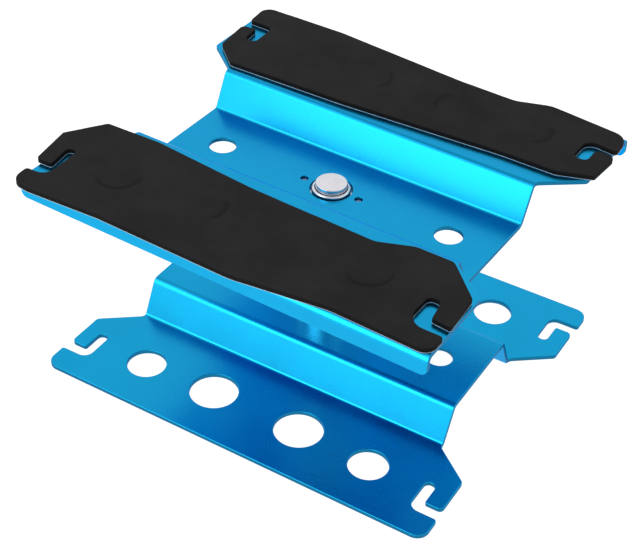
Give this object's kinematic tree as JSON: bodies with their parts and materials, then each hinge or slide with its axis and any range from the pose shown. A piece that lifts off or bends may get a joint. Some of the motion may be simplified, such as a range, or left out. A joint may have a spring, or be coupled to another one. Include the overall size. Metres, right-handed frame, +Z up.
{
  "type": "model car work stand",
  "caption": "Folded anodised work stand: a padded top plate turns on a telescopic post above a folded base, with a push button that releases the height lock.",
  "frame": {"origin": "on the post's axis, at the level of the bench under the base flanges, under the middle of the overall box", "axes": "+X along the long side of the plates, +Y across them towards the rear pad, +Z up along the post"},
  "size_m": [0.1974, 0.1785, 0.1014],
  "materials": {
    "anodised_blue": "satin blue anodised sheet, brighter on the folds",
    "bright_steel": "turned and polished steel",
    "turned_aluminium": "fine turned silver face",
    "spring_steel": "dark spring steel",
    "brass": "plain turned brass",
    "bush_plastic": "natural acetal",
    "adhesive_film": "pale adhesive film seen as a line under the foam",
    "black_foam": "matt black closed cell foam"
  },
  "bodies": {
    "base": {"base_plate": "anodised_blue", "outer_tube": "bright_steel", "tube_washer": "bright_steel", "tube_nut": "bright_steel", "guide_bush": "bush_plastic"},
    "carriage": {"inner_tube": "bright_steel", "rod_guide": "bush_plastic", "rod_guide_clip": "spring_steel", "thrust_washer": "brass"},
    "ball_left": {"lock_ball_left": "bright_steel"},
    "ball_right": {"lock_ball_right": "bright_steel"},
    "turntable": {"turntable_spindle": "turned_aluminium", "hub_screw_left": "spring_steel", "hub_screw_right": "spring_steel", "spindle_washer": "brass", "spindle_circlip": "spring_steel", "top_plate": "anodised_blue", "adhesive_film_front": "adhesive_film", "adhesive_film_rear": "adhesive_film", "foam_pad_front": "black_foam", "foam_pad_rear": "black_foam"},
    "button": {"button_cap": "turned_aluminium", "plunger_rod": "bright_steel", "return_spring": "spring_steel"}
  },
  "joints": [
    {"name": "lift_slide", "type": "slide", "parent": "base", "child": "carriage", "axis": [0, 0, 1], "range_m": [-0.022, 0]},
    {"name": "turntable_swivel", "type": "hinge", "parent": "carriage", "child": "turntable", "pos_m": [0, 0, 0.08], "axis": [0, 0, 1], "continuous": true},
    {"name": "button_press", "type": "slide", "parent": "turntable", "child": "button", "axis": [0, 0, 1], "range_m": [-0.002, 0], "stiffness_N_per_m": 600, "springref_m": 0.0015, "deforming": ["return_spring"]},
    {"name": "ball_left_retract", "type": "slide", "parent": "carriage", "child": "ball_left", "axis": [1, 0, 0], "range_m": [0, 0.0006]},
    {"name": "ball_right_retract", "type": "slide", "parent": "carriage", "child": "ball_right", "axis": [-1, 0, 0], "range_m": [0, 0.0006]}
  ],
  "couplings": [
    {"joint": "ball_left_retract", "follows": "button_press", "ratio": -0.3},
    {"joint": "ball_right_retract", "follows": "button_press", "ratio": -0.3}
  ]
}
